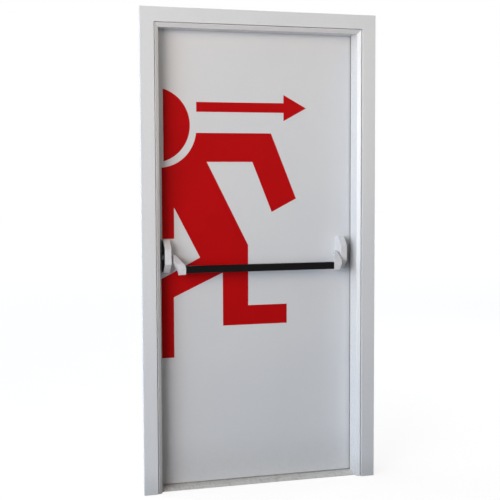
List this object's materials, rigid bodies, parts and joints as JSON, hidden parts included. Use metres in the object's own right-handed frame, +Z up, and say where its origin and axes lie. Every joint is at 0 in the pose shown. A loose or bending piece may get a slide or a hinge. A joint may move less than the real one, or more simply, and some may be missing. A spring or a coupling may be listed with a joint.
{
  "type": "steel emergency exit door set with push bar",
  "caption": "Flush steel exit door leaf in a folded steel frame with face trim, hung on barrel hinges and opened by a horizontal push bar between two end housings.",
  "frame": {"origin": "floor level under the threshold, mid-width and mid-depth of the frame", "axes": "+X across the opening towards the hinges, +Y from the push side to the pull side, +Z up"},
  "size_m": [1.1, 0.2045, 2.15],
  "materials": {
    "frame_paint": "light grey powder coat",
    "sill_steel": "scuffed light grey paint",
    "seal_rubber": "matt black",
    "zinc_steel": "zinc-coated",
    "leaf_paint": "white-grey powder coat",
    "leaf_filling": "mineral-wool slab",
    "plain_steel": "bright steel",
    "hinge_steel": "painted with the frame",
    "chassis_black": "black powder coat",
    "housing_silver": "silver-grey coat on die-cast metal",
    "bar_black": "black coat, satin"
  },
  "bodies": {
    "door_frame": {"jamb_left": "frame_paint", "jamb_right": "frame_paint", "frame_head": "frame_paint", "casing_left": "frame_paint", "casing_right": "frame_paint", "casing_head": "frame_paint", "threshold": "sill_steel", "gasket_left": "seal_rubber", "gasket_right": "seal_rubber", "gasket_head": "seal_rubber", "strike_box": "zinc_steel", "pull_trim_left": "frame_paint", "pull_trim_right": "frame_paint", "pull_trim_head": "frame_paint", "wall_anchor_left_1": "zinc_steel", "wall_anchor_left_2": "zinc_steel", "wall_anchor_left_3": "zinc_steel", "wall_anchor_right_1": "zinc_steel", "wall_anchor_right_2": "zinc_steel", "wall_anchor_right_3": "zinc_steel", "hinge_frame_1": "hinge_steel", "hinge_frame_2": "hinge_steel", "hinge_frame_3": "hinge_steel", "hinge_pin_1": "plain_steel", "hinge_pin_2": "plain_steel", "hinge_pin_3": "plain_steel"},
    "leaf": {"leaf_front_skin": "leaf_paint", "leaf_back_skin": "leaf_paint", "leaf_core": "leaf_filling", "lock_faceplate": "plain_steel", "latch_bolt": "plain_steel", "hinge_leaf_1": "hinge_steel", "hinge_leaf_2": "hinge_steel", "hinge_leaf_3": "hinge_steel", "bar_chassis_left": "chassis_black", "bar_chassis_right": "chassis_black", "bar_housing_cover_left": "housing_silver", "bar_housing_cover_right": "housing_silver", "bar_pivot_pin_left": "plain_steel", "bar_pivot_pin_right": "plain_steel"},
    "bar": {"bar_arm_left": "housing_silver", "bar_arm_right": "housing_silver", "push_bar": "bar_black"}
  },
  "joints": [
    {"name": "door_swing", "type": "hinge", "parent": "door_frame", "child": "leaf", "pos_m": [0.4825, 0.09, 1.04], "axis": [0, 0, -1], "range_deg": [0, 180]},
    {"name": "bar_push", "type": "hinge", "parent": "leaf", "child": "bar", "pos_m": [-0.009, 0, 1.055], "axis": [1, 0, 0], "range_deg": [0, 25], "stiffness_Nm_per_rad": 6, "springref_deg": -34.38}
  ]
}
